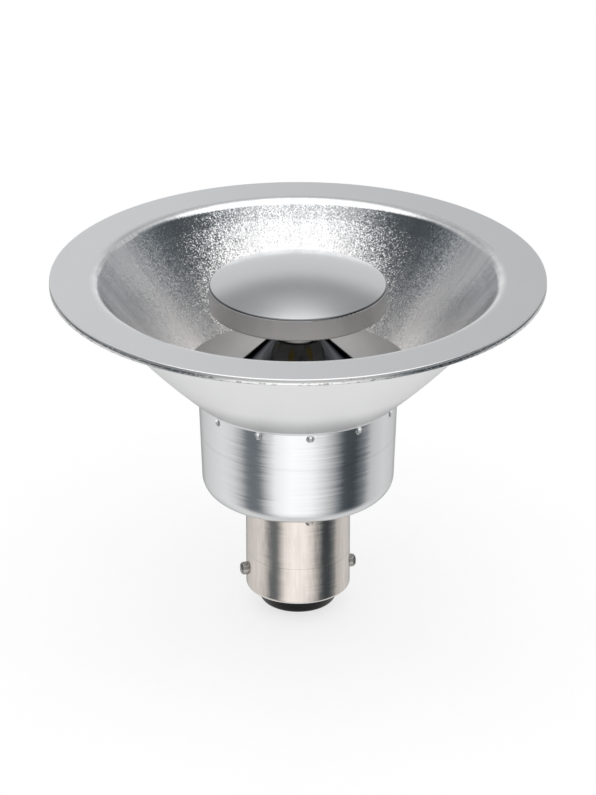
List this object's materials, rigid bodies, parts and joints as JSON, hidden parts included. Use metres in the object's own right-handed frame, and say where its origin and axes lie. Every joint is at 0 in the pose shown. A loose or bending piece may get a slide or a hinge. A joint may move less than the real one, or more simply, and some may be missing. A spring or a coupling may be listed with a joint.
{
  "type": "led spot lamp",
  "caption": "Spot lamp with a flat-rimmed aluminium reflector bowl, a domed glare cap at its centre, a crimped housing cup behind it and a bayonet cap.",
  "frame": {"origin": "on the lamp axis, in the plane of the bayonet pins", "axes": "+Z along the lamp axis towards the light, +X along the bayonet pins"},
  "size_m": [0.07, 0.07, 0.0523],
  "materials": {
    "reflector": "satin flange, peened bright bowl",
    "floor_plate": "smooth satin",
    "mirror_cone": "polished",
    "heat_post": "turned",
    "post_washer": "zinc plated",
    "post_nut": "zinc plated",
    "centre_cap": "fine satin",
    "led_board": "white solder mask",
    "led_packages": "moulded white",
    "led_phosphors": "yellow silicone",
    "board_screws": "zinc plated",
    "led_wires": "insulated wire",
    "housing_cup": "bright drawn",
    "insulating_sleeve": "moulded white",
    "driver_board": "green solder mask",
    "smoothing_capacitor": "printed-free sleeve",
    "choke_core": "ferrite",
    "choke_winding": "enamelled copper",
    "bridge_rectifier": "moulded black",
    "driver_chip": "moulded black",
    "small_parts": "chip parts",
    "supply_wires": "insulated wire",
    "bayonet_shell": "nickel plated",
    "bayonet_pins": "nickel plated",
    "base_insulator": "black",
    "contacts": "tinned"
  },
  "bodies": {
    "root": {"reflector": "reflector", "floor_plate": "floor_plate", "mirror_cone": "mirror_cone", "heat_post": "heat_post", "post_washer": "post_washer", "post_nut": "post_nut", "centre_cap": "centre_cap", "led_board": "led_board", "led_packages": "led_packages", "led_phosphors": "led_phosphors", "board_screws": "board_screws", "led_wires": "led_wires", "housing_cup": "housing_cup", "insulating_sleeve": "insulating_sleeve", "driver_board": "driver_board", "smoothing_capacitor": "smoothing_capacitor", "choke_core": "choke_core", "choke_winding": "choke_winding", "bridge_rectifier": "bridge_rectifier", "driver_chip": "driver_chip", "small_parts": "small_parts", "supply_wires": "supply_wires", "bayonet_shell": "bayonet_shell", "bayonet_pins": "bayonet_pins", "base_insulator": "base_insulator", "contacts": "contacts"}
  },
  "joints": []
}
